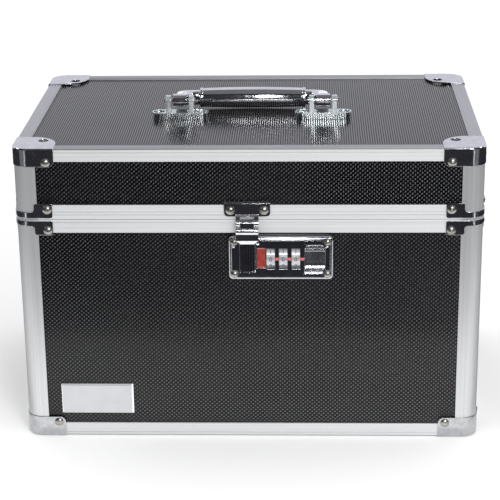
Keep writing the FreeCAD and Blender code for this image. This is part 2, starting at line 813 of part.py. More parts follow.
slide_parts = [
    fused([button, ridge.cut(ridge_groove)]).common(button_outline),
    works(slide_left, slide_right, link_front, link_back, link_low, slide_low),
    works(bolt_left + 1, slide_left, link_front, link_back, link_low, link_high),
    works(bolt_left + 1, bolt_left + 5, link_front, link_back, link_high, bolt_bottom),
    works(spring_x - 1.8, spring_x + 1.8, link_back, lug_back, lug_low, lug_high),
]
nodes["thumb_slide"] = fused(slide_parts)

# Red bolt with the nose that holds the hasp's catch
nose_top = catch_top - catch_stem - 0.2
nodes["lock_bolt"] = fused([
    works(bolt_left, bolt_right, lock_skin + 0.1, link_back, bolt_bottom, bolt_top),
    works(bolt_left - nose_reach, bolt_left, link_front + 0.1, link_back, nose_top - nose_height, nose_top),
])

# Return spring under the slide's lug
spring_path = Part.makeHelix((spring_length - spring_wire) / spring_turns,
                             spring_length - spring_wire, spring_radius)
spring_path.translate(Vector(lock_x + spring_x, face + spring_y,
                             lock_z + spring_base + spring_wire / 2))
coil_start = spring_path.Vertexes[0].Point
wire_ring = Part.Wire(Part.makeCircle(spring_wire / 2, coil_start, Y_AXIS))
nodes["slide_spring"] = Part.Wire(spring_path.Edges).makePipeShell([wire_ring], True, True)

# ---- Hasp ---------------------------------------------------------------------------------

axis_start = (hasp_mid - knuckle_width / 2, hasp_axis_y, hasp_axis_z)
axis_end = (hasp_mid + knuckle_width / 2, hasp_axis_y, hasp_axis_z)
hasp_pin = rod(hasp_pin_radius, axis_start, axis_end)


def across(half_width_x, points):
    """Outline of (y, z) points carried across the hasp's width."""
    return slab(points, hasp_mid - half_width_x, hasp_mid + half_width_x)


plate_front = -shell_y - hasp_plate_sheet
plate = block(hasp_mid - hasp_plate_width / 2, hasp_mid + hasp_plate_width / 2,
              plate_front, -shell_y,
              split_height + hasp_plate_bottom, split_height + hasp_plate_top)
low_corners = [
    e for e in plate.Edges
    if e.BoundBox.ZMax < split_height + hasp_plate_bottom + 0.001 and e.BoundBox.XLength < 0.001
    and e.BoundBox.YLength > 0.001
]
plate = plate.makeFillet(hasp_plate_corner, low_corners)
lip_low = split_height + hasp_plate_top
lip_back = board_front - fit_gap
lip = across(hasp_plate_width / 2, [
    (plate_front, lip_low - 1.5), (plate_front, lip_low), (lip_back, lip_low + hasp_lip),
    (lip_back, lip_low + 0.3), (-shell_y, lip_low - 0.8), (-shell_y, lip_low - 1.5),
])
neck_top = split_height + hasp_plate_bottom + 1.6
neck = across(knuckle_width / 2, [
    (-shell_y - 0.1, hasp_axis_z), (-shell_y - 0.1, neck_top), (plate_front, neck_top),
    (plate_front - 1.4, neck_top - 1.0), (hasp_axis_y - 1.0, hasp_axis_z + knuckle_radius - 0.3),
    (hasp_axis_y, hasp_axis_z),
])
barrel = rod(knuckle_radius, axis_start, axis_end)
middle_half = knuckle_middle / 2 + knuckle_gap
swing_radius = math.hypot(knuckle_radius + 0.1, knuckle_radius + knuckle_gap + 0.2) + knuckle_gap
middle_room = rod(swing_radius,
                  (hasp_mid - middle_half, hasp_axis_y, hasp_axis_z),
                  (hasp_mid + middle_half, hasp_axis_y, hasp_axis_z))
base_room = block(hasp_mid - 20, hasp_mid + 20, -shell_y - 0.1, -shell_y + 5,
                  hasp_axis_z - 5, split_height + hasp_plate_bottom)
nodes["hasp_plate"] = fused([plate, lip, neck, barrel]).cut(middle_room).cut(base_room)
nodes["hasp_plate"] = bored(nodes["hasp_plate"], hasp_rivets + [hasp_pin])
nodes["hasp_pin"] = hasp_pin

leaf_front = hasp_axis_y - knuckle_radius - 0.1
leaf_back = leaf_front + leaf_sheet
leaf_top = hasp_axis_z - knuckle_radius - knuckle_gap - 0.2
tongue_front = face + tongue_plate_sink
tongue_back = tongue_front + tongue_plate_sheet
tongue_top = lock_z + tongue_plate_top
shelf_top = tongue_top + shelf_height
tongue_end = lock_z + tongue_plate_bottom
knuckle = rod(knuckle_radius,
              (hasp_mid - knuckle_middle / 2, hasp_axis_y, hasp_axis_z),
              (hasp_mid + knuckle_middle / 2, hasp_axis_y, hasp_axis_z))
strap = across(knuckle_middle / 2, [
    (leaf_front, leaf_top), (leaf_back, leaf_top), (hasp_axis_y, hasp_axis_z),
    (hasp_axis_y - knuckle_radius, hasp_axis_z),
])
leaf = across(leaf_width / 2, [
    (leaf_front, leaf_top), (leaf_back, leaf_top), (leaf_back, shelf_top), (leaf_front, shelf_top),
])
bead_chord = math.sqrt(leaf_bead_radius ** 2 - (leaf_bead_radius - leaf_bead_proud) ** 2)
bead_y = leaf_front - leaf_bead_proud + leaf_bead_radius
bead_z = leaf_top - bead_chord
bead = rod(leaf_bead_radius, (hasp_mid - leaf_width / 2, bead_y, bead_z),
           (hasp_mid + leaf_width / 2, bead_y, bead_z))
bead = bead.common(across(leaf_width, [
    (leaf_front - leaf_bead_proud, leaf_top), (leaf_back, leaf_top),
    (leaf_back, leaf_top - 2 * bead_chord), (leaf_front - leaf_bead_proud, leaf_top - 2 * bead_chord),
]))
shelf_outline = [
    (leaf_front, shelf_top), (leaf_back, shelf_top), (tongue_back, tongue_top), (tongue_front, tongue_top),
]
shelf = across(leaf_width / 2, shelf_outline)
for way in (-1, 1):
    narrow = Part.makePolygon([
        Vector(hasp_mid + way * tongue_plate_width / 2, leaf_front - 1, tongue_top - 1),
        Vector(hasp_mid + way * leaf_width, leaf_front - 1, tongue_top - 1),
        Vector(hasp_mid + way * leaf_width, leaf_front - 1, shelf_top),
        Vector(hasp_mid + way * leaf_width / 2, leaf_front - 1, shelf_top),
        Vector(hasp_mid + way * tongue_plate_width / 2, leaf_front - 1, tongue_top + 0.5),
        Vector(hasp_mid + way * tongue_plate_width / 2, leaf_front - 1, tongue_top - 1),
    ])
    shelf = shelf.cut(Part.Face(narrow).extrude(Vector(0, 12, 0)))
tongue = across(tongue_plate_width / 2, [
    (tongue_front, tongue_top), (tongue_back, tongue_top),
    (tongue_back, tongue_end), (tongue_front, tongue_end),
])
stem_low = lock_z + catch_top - catch_stem
catch = across(catch_width / 2, [
    (tongue_back, lock_z + catch_top), (tongue_back + catch_depth, lock_z + catch_top),
    (tongue_back + catch_depth, stem_low - catch_drop),
    (tongue_back + catch_depth - catch_lip, stem_low - catch_drop),
    (tongue_back + catch_depth - catch_lip, stem_low), (tongue_back, stem_low),
])
hasp_bore = rod(hasp_pin_radius + axle_gap, axis_start, axis_end)
nodes["hasp_leaf"] = fused([knuckle, strap, leaf, bead, shelf, tongue, catch]).cut(hasp_bore)

# ---- Hinges at the back -----------------------------------------------------------------


def hinge_x_rod(radius, middle, half):
    """Round bar on the lid's hinge axis."""
    return rod(radius, (middle - half, hinge_y, split_height), (middle + half, hinge_y, split_height))


def hinge_leaf(middle, way):
    """Flat leaf on the rim, above the seam for way 1 and below it for way -1."""
    low, high = sorted((split_height + way * 0.1, split_height + way * (0.1 + hinge_leaf_height)))
    return block(middle - hinge_width / 2, middle + hinge_width / 2,
                 shell_y, shell_y + hinge_sheet, low, high)


for name, way_x in (("left", -1), ("right", 1)):
    middle = way_x * hinge_x
    half = hinge_width / 2
    centre_half = hinge_middle / 2
    pin = hinge_x_rod(hinge_pin_radius, middle, half)
    pin_room = hinge_x_rod(hinge_pin_radius + axle_gap, middle, half + 1)
    outer_knuckles = hinge_x_rod(hinge_radius, middle, half).cut(
        hinge_x_rod(hinge_radius + 1, middle, centre_half + hinge_gap))
    centre_knuckle = hinge_x_rod(hinge_radius, middle, centre_half)
    finger = block(middle - centre_half, middle + centre_half,
                   hinge_y + hinge_pin_radius + 0.5, hinge_y + stop_reach,
                   split_height - stop_thick / 2, split_height + stop_thick / 2)
    finger.rotate(Vector(0, hinge_y, split_height), X_AXIS, stop_angle)
    centre_room = hinge_x_rod(hinge_radius + hinge_gap, middle, centre_half + hinge_gap)
    outer_room = hinge_x_rod(hinge_radius + hinge_gap, middle, half + 1).cut(
        hinge_x_rod(hinge_radius + 1, middle, centre_half))
    base_leaf = hinge_leaf(middle, -1).cut(centre_room)
    lid_leaf = hinge_leaf(middle, 1).cut(outer_room)
    base_leaf = fused([base_leaf, outer_knuckles]).cut(pin)
    lid_leaf = fused([lid_leaf, centre_knuckle, finger]).cut(pin_room)
    nodes[f"base_hinge_leaf_{name}"] = bored(base_leaf, base_hinge_rivets)
    nodes[f"lid_hinge_leaf_{name}"] = bored(lid_leaf, lid_hinge_rivets)
    nodes.setdefault("hinge_pins", [])
    nodes["hinge_pins"].append(pin)
nodes["hinge_pins"] = Part.makeCompound(nodes["hinge_pins"])

# ---- Handle -------------------------------------------------------------------------------


def bracket(middle):
    """Cast bracket: plate with two round ears, a square block in front and two lugs."""
    ear = bracket_width / 2
    end = bracket_length / 2 - ear
    top = board_top + bracket_height
    parts = [
        block(middle - end, middle + end, bracket_y - ear, bracket_y + ear, board_top, top),
        block(middle - bracket_block / 2, middle + bracket_block / 2,
              bracket_front, bracket_y + ear, board_top, top),
    ]
    parts += [rod(ear, (middle + a * end, bracket_y, board_top), (middle + a * end, bracket_y, top))
              for a in (-1, 1)]
    for a in (-1, 1):
        near = middle + a * lug_spacing / 2 - lug_thick / 2
        parts.append(block(near, near + lug_thick, bracket_front, bracket_front + 2 * lug_radius,
                           top - 1, pivot_z))
        parts.append(rod(lug_radius, (near, pivot_y, pivot_z), (near + lug_thick, pivot_y, pivot_z)))
    solid = fused(parts)
    for a in (-1, 1):
        place = middle + a * bracket_screw_in
        solid = solid.cut(rod(screw_recess_radius, (place, bracket_y, top - screw_recess_depth),
                              (place, bracket_y, top + 1)))
        solid = solid.cut(rod(screw_shank, (place, bracket_y, board_top - 1), (place, bracket_y, top)))
    return solid


def bracket_screw(place):
    """Slotted screw in the ear's recess, with its nut under the board."""
    seat = board_top + bracket_height - screw_recess_depth
    low = board_top - board - nut_height
    head = rod(screw_head_radius, (place, bracket_y, seat), (place, bracket_y, seat + screw_head_height))
    rim = [e for e in head.Edges if e.BoundBox.ZMin > seat + screw_head_height - 0.001]
    head = head.makeFillet(0.7, rim)
    cross = block(place - screw_head_radius, place + screw_head_radius,
                  bracket_y - screw_slot / 2, bracket_y + screw_slot / 2,
                  seat + screw_head_height - 0.6, seat + screw_head_height + 1)
    shank = rod(screw_shank, (place, bracket_y, low - 1), (place, bracket_y, seat))
    return fused([head, shank]).cut(cross)


def nut(place):
    """Hexagon nut against the inside of the top board."""
    high = board_top - board
    corners = [
        Vector(place + nut_radius * math.cos(math.radians(60 * n)),
               bracket_y + nut_radius * math.sin(math.radians(60 * n)), high - nut_height)
        for n in range(7)
    ]
    solid = Part.Face(Part.makePolygon(corners)).extrude(Vector(0, 0, nut_height))
    return solid.cut(rod(screw_shank, (place, bracket_y, high - nut_height - 1), (place, bracket_y, high + 1)))


half_span = handle_span / 2
screw_places = [a * half_span + b * bracket_screw_in for a in (-1, 1) for b in (-1, 1)]
screws = [bracket_screw(place) for place in screw_places]
nuts = [nut(place) for place in screw_places]
nodes["handle_screws"] = Part.makeCompound(screws)
nodes["handle_nuts"] = Part.makeCompound(nuts)
nodes["lid_top_board"] = bored(level_board(board_top - board), lid_holes + screws)

pins = []
pin_half = lug_spacing / 2 + lug_thick / 2
for name, a in (("left", -1), ("right", 1)):
    middle = a * half_span
    shaft = rod(pivot_radius, (middle - pin_half, pivot_y, pivot_z), (middle + pin_half, pivot_y, pivot_z))
    heads = [
        rod(pivot_radius + 0.8, (middle + b * pin_half, pivot_y, pivot_z),
            (middle + b * (pin_half + pivot_head), pivot_y, pivot_z))
        for b in (-1, 1)
    ]
    pins.append(fused([shaft] + heads))
    nodes[f"handle_bracket_{name}"] = bracket(middle).cut(pins[-1])
nodes["handle_pins"] = Part.makeCompound(pins)


def arm_section(y, thick):
    """Rounded oblong of that thickness, upright across the left arm."""
    oblong = block(-half_span - arm_width / 2, -half_span + arm_width / 2, y, y + 1,
                   -thick / 2, thick / 2)
    oblong = rounded(oblong, arm_round, Y_AXIS)
    return [f for f in oblong.Faces if f.BoundBox.YMax < y + 0.001][0]


# The bail is drawn level, with its hinge on the X axis, and then laid down
straight = handle_reach - handle_corner
turned = arm_section(straight, arm_thick)
arm = Part.makeLoft([arm_section(0, 2 * boss_radius).OuterWire, turned.OuterWire], True, True)
bend_centre = Vector(-half_span + handle_corner, straight, 0)
bend = turned.revolve(bend_centre, -Z_AXIS, 90)
turned.rotate(bend_centre, -Z_AXIS, 90)
bar = turned.extrude(Vector(half_span - handle_corner, 0, 0))
boss = rod(boss_radius, (-half_span - arm_width / 2, 0, 0), (-half_span + arm_width / 2, 0, 0))
half_bail = fused([arm, bend, bar, boss])
bail = fused([half_bail, mirrored(half_bail, X_AXIS)])
bail = bail.cut(rod(pivot_radius + pivot_gap, (-half_span - 20, 0, 0), (half_span + 20, 0, 0)))

# Barrel grip with a collar at each end, threaded on the bail's bar
grip_half = grip_length / 2
inner_half = grip_half - collar_width
ends = [Vector(-inner_half, handle_reach, grip_end_radius), Vector(inner_half, handle_reach, grip_end_radius)]
crown = Part.Arc(ends[0], Vector(0, handle_reach, grip_middle_radius), ends[1]).toShape()
core = [Vector(inner_half, handle_reach, 0), Vector(-inner_half, handle_reach, 0)]
grip_outline = Part.Wire([
    crown, Part.makeLine(ends[1], core[0]), Part.makeLine(core[0], core[1]), Part.makeLine(core[1], ends[0])])
barrel_grip = Part.Face(grip_outline).revolve(Vector(0, handle_reach, 0), X_AXIS, 360)
collars = []
for a in (-1, 1):
    collar = rod(collar_radius, (a * inner_half, handle_reach, 0), (a * grip_half, handle_reach, 0))
    collars.append(collar.makeFillet(collar_round, [e for e in collar.Edges if e.Length > collar_radius]))
grip = fused([barrel_grip] + collars).cut(bail)

for name, shape in (("handle_bail", bail), ("handle_grip", grip)):
    shape.rotate(Vector(0, 0, 0), X_AXIS, -handle_fall)
    shape.translate(Vector(0, pivot_y, pivot_z))
    nodes[name] = shape

# ---- Foam ----------------------------------------------------------------------------------

foam = block(-foam_x, foam_x, -foam_y, foam_y, foam_floor, foam_z)
for x0, x1, y0, y1, depth in (drone_bay, transmitter_bay, battery_bay_left, battery_bay_middle, charger_bay):
    pocket = block(x0, x1, y0, y1, foam_z - depth, foam_z + 1)
    foam = foam.cut(rounded(pocket, pocket_corner, Z_AXIS))
foam = foam.cut(works(-works_left - 3, works_right + 3, 0, works_depth + cover_sheet + foam_gap,
                      -works_half_height - 3, foam_z - lock_z + 1))
nodes["base_foam"] = foam

lid_foam_top = shell_top - channel - foam_rest
lid_foam = block(-foam_x, foam_x, -foam_y, foam_y, lid_foam_top - lid_foam_thick, lid_foam_top)
dent_floor = board_top - board - nut_height - 1.6
dents = [
    rod(nut_radius + 1, (place, bracket_y, dent_floor), (place, bracket_y, lid_foam_top))
    for place in screw_places
]
nodes["lid_foam"] = bored(lid_foam, dents)

# ---- One file for each piece -----------------------------------------------------------------

for name, shape in nodes.items():
    if not shape.isValid():
        print(f"{name} is not valid")
    print(f"{name}: {len(shape.Solids)} solids, {shape.Volume / 1000:.2f} cm3")
    shape.exportStep(f"parts/{name}.step")
print(f"{len(nodes)} nodes")
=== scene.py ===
import math

import bmesh
import bpy
import numpy as np
from mathutils import Matrix, Vector


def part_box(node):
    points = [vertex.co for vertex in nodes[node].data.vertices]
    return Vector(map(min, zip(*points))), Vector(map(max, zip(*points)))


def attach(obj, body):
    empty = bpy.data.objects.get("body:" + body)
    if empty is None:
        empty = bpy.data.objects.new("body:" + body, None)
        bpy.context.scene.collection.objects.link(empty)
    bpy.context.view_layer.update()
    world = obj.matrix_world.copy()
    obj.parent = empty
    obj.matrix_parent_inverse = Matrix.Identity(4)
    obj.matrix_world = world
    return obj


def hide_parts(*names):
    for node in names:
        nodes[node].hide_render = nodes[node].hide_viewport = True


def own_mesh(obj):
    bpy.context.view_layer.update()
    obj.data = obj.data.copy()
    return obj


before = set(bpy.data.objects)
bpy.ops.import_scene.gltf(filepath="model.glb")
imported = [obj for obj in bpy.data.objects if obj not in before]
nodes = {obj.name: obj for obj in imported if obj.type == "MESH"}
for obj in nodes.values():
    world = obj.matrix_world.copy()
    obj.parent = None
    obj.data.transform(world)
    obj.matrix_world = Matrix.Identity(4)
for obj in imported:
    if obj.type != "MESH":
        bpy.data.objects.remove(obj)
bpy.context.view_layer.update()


# ---- Boards ------------------------------------------------------------------------
# Thin fibreboard faced with black plastic, pressed all over with small raised
# diamonds. Ten boards, five in the base and five in the lid, held in the slots
# of the extruded edges.

DIAMOND_ACROSS = 0.0035     # from diamond to diamond in a row
DIAMOND_UP = 0.0032         # from row to row of the same phase
DIAMOND_HEIGHT = 0.00043
CREST_PAINTED_HIGHLIGHT = 0.022          # the facing's lightest colour, a painted highlight on each crest
RIB_PAINTED_HIGHLIGHT = 0.10             # the same painted highlight, stronger, where the rows close up into ribs


class Finish:
    """Node material built up step by step. A method that adds a node returns its socket."""

    def __init__(self, name, **values):
        self.made = bpy.data.materials.new(name)
        self.made.use_nodes = True
        self.tree = self.made.node_tree
        self.shader = self.tree.nodes["Principled BSDF"]
        for key, value in values.items():
            self.give(key.replace("_", " "), value)
        self.place = self.add("ShaderNodeTexCoord", out="Object")
        self.x, self.y, self.z = self.add("ShaderNodeSeparateXYZ", self.place).node.outputs

    def add(self, kind, *inputs, out=0, **settings):
        """One node with its inputs linked or set, in order. None leaves an input alone."""
        node = self.tree.nodes.new(kind)
        for key, value in settings.items():
            setattr(node, key, value)
        for index, value in enumerate(inputs):
            if isinstance(value, bpy.types.NodeSocket):
                self.tree.links.new(value, node.inputs[index])
            elif value is not None:
                node.inputs[index].default_value = value
        return node.outputs[out]

    def give(self, name, value):
        """Sets one input of the shader to a value or a socket."""
        socket = self.shader.inputs[name]
        if isinstance(value, bpy.types.NodeSocket):
            self.tree.links.new(value, socket)
        else:
            socket.default_value = (*value, 1) if isinstance(value, tuple) else value

    def maths(self, operation, *inputs):
        """One sum, product or other operation on numbers."""
        return self.add("ShaderNodeMath", *inputs, operation=operation)

    def ramp(self, value, low, high, start, end):
        """Value carried from low..high to start..end and held at the ends."""
        return self.add("ShaderNodeMapRange", value, low, high, start, end)

    def noise(self, scale, detail=2.0, roughness=0.5, place=None):
        """Cloudy pattern from 0 to 1, with scale clouds to the metre."""
        return self.add("ShaderNodeTexNoise", place or self.place, None, scale, detail, roughness)

    def point(self, x, y, z):
        """Place with these coordinates."""
        return self.add("ShaderNodeCombineXYZ", x, y, z)

    def colours(self, value, *stops):
        """Colour ramp through (place, (r, g, b)) stops."""
        node = self.tree.nodes.new("ShaderNodeValToRGB")
        while len(node.color_ramp.elements) < len(stops):
            node.color_ramp.elements.new(0.5)
        for element, (place, colour) in zip(node.color_ramp.elements, stops):
            element.position = place
            element.color = (*colour, 1)
        self.tree.links.new(value, node.inputs[0])
        return node.outputs[0]

    def mix(self, factor, first, second):
        """First colour where factor is 0, second where it is 1."""
        node = self.tree.nodes.new("ShaderNodeMix")
        node.data_type = "RGBA"
        for index, value in ((0, factor), (6, first), (7, second)):
            if isinstance(value, bpy.types.NodeSocket):
                self.tree.links.new(value, node.inputs[index])
            else:
                node.inputs[index].default_value = (*value, 1) if index else value
        return node.outputs[2]

    def bump(self, height, distance, strength, edge=None):
        """Relief of that height in metres. With edge, sharp edges are eased to that radius."""
        node = self.tree.nodes.new("ShaderNodeBump")
        node.inputs["Distance"].default_value = distance
        node.inputs["Strength"].default_value = strength
        self.tree.links.new(height, node.inputs["Height"])
        if edge:
            self.tree.links.new(self.add("ShaderNodeBevel", edge, samples=6), node.inputs["Normal"])
        self.give("Normal", node.outputs[0])

    def within(self, value, middle, half, soft):
        """1 within half of the middle, fading to 0 over soft beyond it."""
        away = self.maths("ABSOLUTE", self.maths("SUBTRACT", value, middle))
        return self.ramp(away, half, half + soft, 1.0, 0.0)

    def paint(self, *names):
        """Gives CAD nodes this material."""
        for name in names:
            slots = nodes[name].data.materials
            slots.clear()
            slots.append(self.made)


def diamond_facing(name, across, up, ribbed=False):
    """Black plastic with raised diamonds in staggered rows. Their height is
    ((1 + cos(2 pi across / P) cos(2 pi up / Q)) / 2) ** 2, and their crests are rubbed
    glossy and painted paler, a painted highlight, under a thin smooth film. Over the top of
    the case the rows close up, and the gloss and a stronger painted highlight follow the columns."""
    film = 0.0 if ribbed else 0.52
    skin = Finish(name, Coat_Weight=film, Coat_Roughness=0.16)
    waves = [
        skin.maths("COSINE", skin.maths("MULTIPLY", getattr(skin, axis), 2 * math.pi / pitch))
        for axis, pitch in ((across, DIAMOND_ACROSS), (up, DIAMOND_UP))
    ]
    height = skin.maths("MULTIPLY_ADD", skin.maths("MULTIPLY", *waves), 0.5, 0.5)
    if not ribbed:
        height = skin.maths("POWER", height, 2.0)
    speckle = skin.noise(900.0)
    wear = skin.noise(14.0, 4.0)
    crest = skin.maths("ABSOLUTE", waves[0]) if ribbed else height
    lit = skin.maths("MULTIPLY_ADD", crest, 0.55, skin.maths("MULTIPLY", height, 0.25))
    lit = skin.maths("MULTIPLY_ADD", speckle, 0.25, lit)
    # The crests and ribs are painted paler and tinted blue, a painted highlight.
    pale, blue = (RIB_PAINTED_HIGHLIGHT, 1.08) if ribbed else (CREST_PAINTED_HIGHLIGHT, 1.4)
    skin.give("Base Color", skin.colours(lit, (0.2, (0.0008, 0.0008, 0.0012)),
                                         (0.6, (0.003, 0.003, 0.0045)),
                                         (0.95, (pale, pale, blue * pale))))
    rubbed = skin.maths("MULTIPLY_ADD", speckle, 0.4, wear)
    skin.give("Roughness", skin.ramp(rubbed, 0.3, 1.1, 0.10, 0.22))
    if ribbed:
        gloss = skin.ramp(crest, 0.35, 0.85, 0.05, 1.0)
        relief = skin.maths("MULTIPLY_ADD", crest, 0.8, skin.maths("MULTIPLY", height, 0.2))
        strength = 0.25
    else:
        gloss = skin.ramp(crest, 0.30, 0.65, 0.055, 1.0)
        relief = height
        strength = 1.0
    skin.give("Specular IOR Level", gloss)
    skin.bump(relief, DIAMOND_HEIGHT, strength)
    return skin


front_facing = diamond_facing("diamond_facing_front", "x", "z")
side_facing = diamond_facing("diamond_facing_side", "y", "z")
level_facing = diamond_facing("diamond_facing_level", "x", "y", True)
for half in ("base", "lid"):
    front_facing.paint(f"{half}_front_board", f"{half}_back_board")
    side_facing.paint(f"{half}_left_board", f"{half}_right_board")
level_facing.paint("base_bottom_board", "lid_top_board")


# ---- Extruded edges ----------------------------------------------------------------
# Clear anodised aluminium: round corner posts, flanged edges round the top and
# bottom, and ribbed rims at the seam. All carry the fine lines of the die.

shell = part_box("base_posts")[1]     # outer faces of the extrusions, from the middle of the case
top_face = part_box("lid_top_edges")[1].z
DIE_DRAW = 0.004            # the die's lines are drawn out to 1 / DIE_DRAW of their width
FACE_SHADES = (0.54, 0.64, 0.73)
# The flange shades are the face shades painted darker for the top faces, a painted shade.
FLANGE_PAINTED_SHADES = (0.52, 0.61, 0.70)
EASED_EDGE = 0.0004         # radius of the eased edges


def anodised(name, upright):
    """Satin aluminium with the die's lines along each bar. Round the case a line keeps one
    height and one distance in from the outer faces, q = min(X - |x|, Y - |y|); on a post it
    keeps one x and one y. The flanges on top of the case are painted a little darker than the
    upright faces, a painted shade, and are more metallic."""
    metal = Finish(name, Anisotropic=0.75, Anisotropic_Rotation=0.25)
    if upright:
        run = metal.point(metal.x, metal.y, metal.maths("MULTIPLY", metal.z, DIE_DRAW))
        grain = metal.point(0.0, 0.0, 1.0)
    else:
        inward = [
            metal.maths("SUBTRACT", limit, metal.maths("ABSOLUTE", value))
            for limit, value in ((shell.x, metal.x), (shell.y, metal.y))
        ]
        along = metal.maths("MULTIPLY", metal.maths("ADD", metal.x, metal.y), DIE_DRAW)
        run = metal.point(metal.maths("MINIMUM", *inward), metal.z, along)
        on_side = metal.maths("LESS_THAN", *inward)
        grain = metal.point(metal.maths("SUBTRACT", 1.0, on_side), on_side, 0.0)
    metal.give("Tangent", metal.add("ShaderNodeVectorTransform", grain, vector_type="VECTOR",
                                    convert_from="OBJECT", convert_to="WORLD"))
    lines = metal.noise(2600.0, 3.0, 0.6, run)
    broad = metal.noise(480.0, 2.0, 0.5, run)
    cloud = metal.noise(9.0, 3.0)
    tone = metal.maths("MULTIPLY_ADD", broad, 0.5, metal.maths("MULTIPLY", lines, 0.5))
    # The top faces of the flanges take the darker shades, a painted shade.
    on_top = metal.ramp(metal.z, top_face - 0.0009, top_face - 0.0003, 0.0, 1.0)
    light, flange_painted_shade = (
        metal.colours(tone, *[
            (place, (0.97 * shade, 0.98 * shade, shade))
            for place, shade in zip((0.25, 0.5, 0.75), shades)
        ])
        for shades in (FACE_SHADES, FLANGE_PAINTED_SHADES)
    )
    metal.give("Base Color", light if upright else metal.mix(on_top, light, flange_painted_shade))
    metal.give("Metallic", metal.ramp(on_top, 0.0, 1.0, 0.68 if upright else 0.35, 1.0))
    drawn = metal.maths("MULTIPLY_ADD", lines, 0.6, cloud)
    metal.give("Roughness", metal.ramp(drawn, 0.4, 1.2, 0.34, 0.50))
    metal.bump(tone, 0.00006, 0.5, EASED_EDGE)
    return metal


anodised("anodised_posts", True).paint("base_posts", "lid_posts")
bars = anodised("anodised_bars", False)
bars.paint("base_bottom_edges", "lid_top_edges", "base_rims", "lid_rims")


# ---- Corner caps and clips ---------------------------------------------------------
# Pressed steel caps folded over the eight corners and eight clips over the ends of
# the rims at the seam. The upper caps and the clips are bright chromium, slightly
# waved where the press drew them; the four lower caps have a satin plating.

CORNERS = ("front_left", "front_right", "back_left", "back_right")
HAIR_DRAW = 0.2             # hairlines are drawn out to 1 / HAIR_DRAW of their width


def plated(name, dark, light, smooth, rough, wave=0.00025, edge=0.00035):
    """Plated steel with rubbed patches and hairlines. Its colour runs from dark to light, its
    roughness from smooth to rough. It is waved to that height, with edges eased to that radius."""
    metal = Finish(name, Metallic=1.0)
    waves = metal.noise(70.0, 1.0)
    patches = metal.noise(160.0, 5.0, 0.65)
    drawn = [metal.maths("MULTIPLY", value, HAIR_DRAW) for value in (metal.y, metal.z)]
    hairs = metal.noise(2200.0, 2.0, 0.6, metal.point(metal.x, *drawn))
    metal.give("Base Color", metal.colours(patches, (0.3, dark), (0.65, light)))
    rubbed = metal.maths("MULTIPLY_ADD", hairs, 0.5, patches)
    metal.give("Roughness", metal.ramp(rubbed, 0.45, 1.05, smooth, rough))
    metal.bump(waves, wave, 0.5, edge)
    return metal


chrome = plated("chromed_steel", dark=(0.72, 0.73, 0.77), light=(0.86, 0.87, 0.90),
                smooth=0.05, rough=0.16)
chrome.paint(*[f"top_corner_{corner}" for corner in CORNERS], "lid_clips", "base_clips")
satin = plated("satin_plated_steel", dark=(0.40, 0.41, 0.42), light=(0.56, 0.57, 0.59),
               smooth=0.14, rough=0.28)
satin.paint(*[f"bottom_corner_{corner}" for corner in CORNERS])


# ---- Rivets ------------------------------------------------------------------------
# Domed steel rivets, nickel plated. They go through caps, clips, lock, hasp and hinges
# and are clinched on the inside.

nickel = plated("nickel_rivets", dark=(0.34, 0.32, 0.29), light=(0.50, 0.49, 0.46),
                smooth=0.26, rough=0.40, wave=0.0001, edge=0.0002)
for place in ("lid", "base", "lock", "hasp", "lid_hinge", "base_hinge"):
    nickel.paint(f"{place}_rivets")


# ---- Label plate -------------------------------------------------------------------
# Plain satin aluminium plate, brushed along its length, with a rolled edge. It is
# glued low on the left of the front.

LABEL_BRUSHED = 0.03        # the grain is drawn out to 1 / LABEL_BRUSHED of its width
ROLL_DOWN = 0.0009          # from the upper edge down to the line of painted shade where it is rolled
ROLL_IN = 0.0006            # from the right end in to its line of painted highlight
low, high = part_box("label_plate")
label = Finish("label_plate_satin", Metallic=0.25)
brushed = label.point(label.maths("MULTIPLY", label.x, LABEL_BRUSHED), label.y, label.z)
grain = label.noise(2400.0, 3.0, 0.6, brushed)
blotch = label.noise(45.0, 3.0)
tone = label.maths("MULTIPLY_ADD", grain, 0.5, label.maths("MULTIPLY", blotch, 0.5))
face_tone = label.colours(tone, (0.3, (0.44, 0.45, 0.47)), (0.7, (0.58, 0.59, 0.61)))
# Painted shade: a dark line under the rolled upper edge. Painted highlight: pale lines at both ends.
upper = label.within(label.z, high.z - ROLL_DOWN, 0.0002, 0.0003)
ends = label.maths("MAXIMUM", label.within(label.x, low.x, 0.0002, 0.0003),
                   label.within(label.x, high.x - ROLL_IN, 0.0004, 0.0004))
face_tone = label.mix(upper, face_tone, (0.22, 0.26, 0.29))
face_tone = label.mix(ends, face_tone, (0.97, 0.97, 0.98))
label.give("Base Color", face_tone)
label.give("Roughness", label.ramp(grain, 0.3, 0.7, 0.32, 0.48))
groove = label.maths("MULTIPLY", upper, -4.0)
label.bump(label.maths("ADD", grain, groove), 0.00005, 0.6, EASED_EDGE)
label.paint("label_plate")


# ---- Combination lock --------------------------------------------------------------
# Die-cast housing let into the board and chromed, with a raised face, a slot for the
# hasp's tongue, windows for three number wheels, and a red index mark beside each.

WHEELS = ("number_wheel_1", "number_wheel_2", "number_wheel_3")
lock_low, lock_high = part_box("lock_housing")
wheel_boxes = [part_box(name) for name in WHEELS]
wheel_middles = [(box[0] + box[1]) / 2 for box in wheel_boxes]
wheel_radius = (wheel_boxes[0][1].z - wheel_boxes[0][0].z) / 2
wheel_pitch = wheel_middles[1].x - wheel_middles[0].x

MARK_HALF_WIDTH = 0.0014
MARK_HALF_HEIGHT = 0.0009
MARK_FADE = 0.0003
INDEX_RED = (0.52, 0.11, 0.10)

